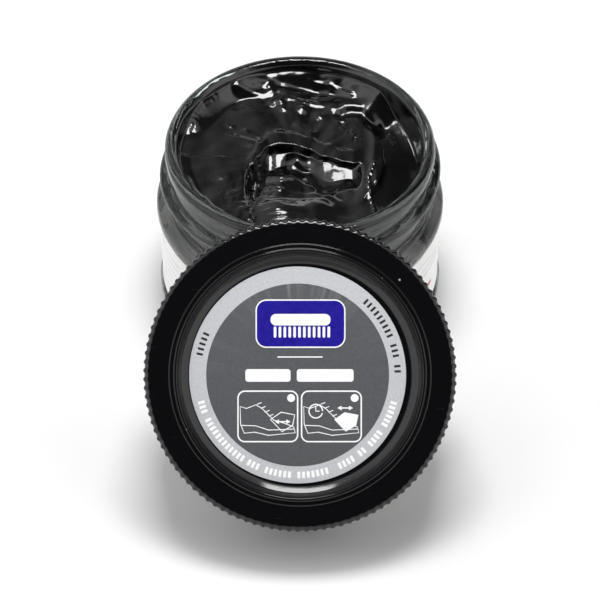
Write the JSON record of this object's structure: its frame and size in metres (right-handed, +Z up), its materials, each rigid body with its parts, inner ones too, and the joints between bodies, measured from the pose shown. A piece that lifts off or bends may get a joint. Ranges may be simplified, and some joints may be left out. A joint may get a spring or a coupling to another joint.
{
  "type": "shoe cream jar",
  "caption": "Glass screw-neck jar of black shoe cream, open, with its ribbed screw cap leaning on the lip; the cap lifts away and turns.",
  "frame": {"origin": "centre of the jar's foot, on the surface that it stands on", "axes": "+Z up along the jar's axis; the cap leans on the lip on the -Y side, its top facing -Y and up; X is across the object, left to right seen from the cap's side"},
  "size_m": [0.0604, 0.1065, 0.0517],
  "materials": {
    "glass": "pressed clear flint glass, fire-polished, with a faint green-grey cast in the thick parts",
    "label_paper": "coated white label paper, satin",
    "cream": "black wax cream, wet gloss, smeared and torn where it has been scooped",
    "cap_plastic": "injection-moulded black polypropylene, polished mould",
    "sticker": "silver and slate-grey printed film sticker, satin",
    "wad_foam": "white expanded polyethylene foam",
    "wad_film": "clear polyethylene facing film, marked by the lip"
  },
  "bodies": {
    "jar": {"glass_jar": "glass", "wrap_label": "label_paper", "shoe_cream": "cream"},
    "cap_seal": {"seal_wad": "wad_foam", "seal_film": "wad_film"},
    "cap": {"cap_shell": "cap_plastic", "cap_sticker": "sticker"}
  },
  "joints": [
    {"name": "cap_lift", "type": "slide", "parent": "jar", "child": "cap_seal", "axis": [0, -0.6909, 0.723], "range_m": [0, 0.06]},
    {"name": "cap_turn", "type": "hinge", "parent": "cap_seal", "child": "cap", "pos_m": [0, -0.04607, 0.02086], "axis": [0, -0.6909, 0.723], "continuous": true}
  ]
}
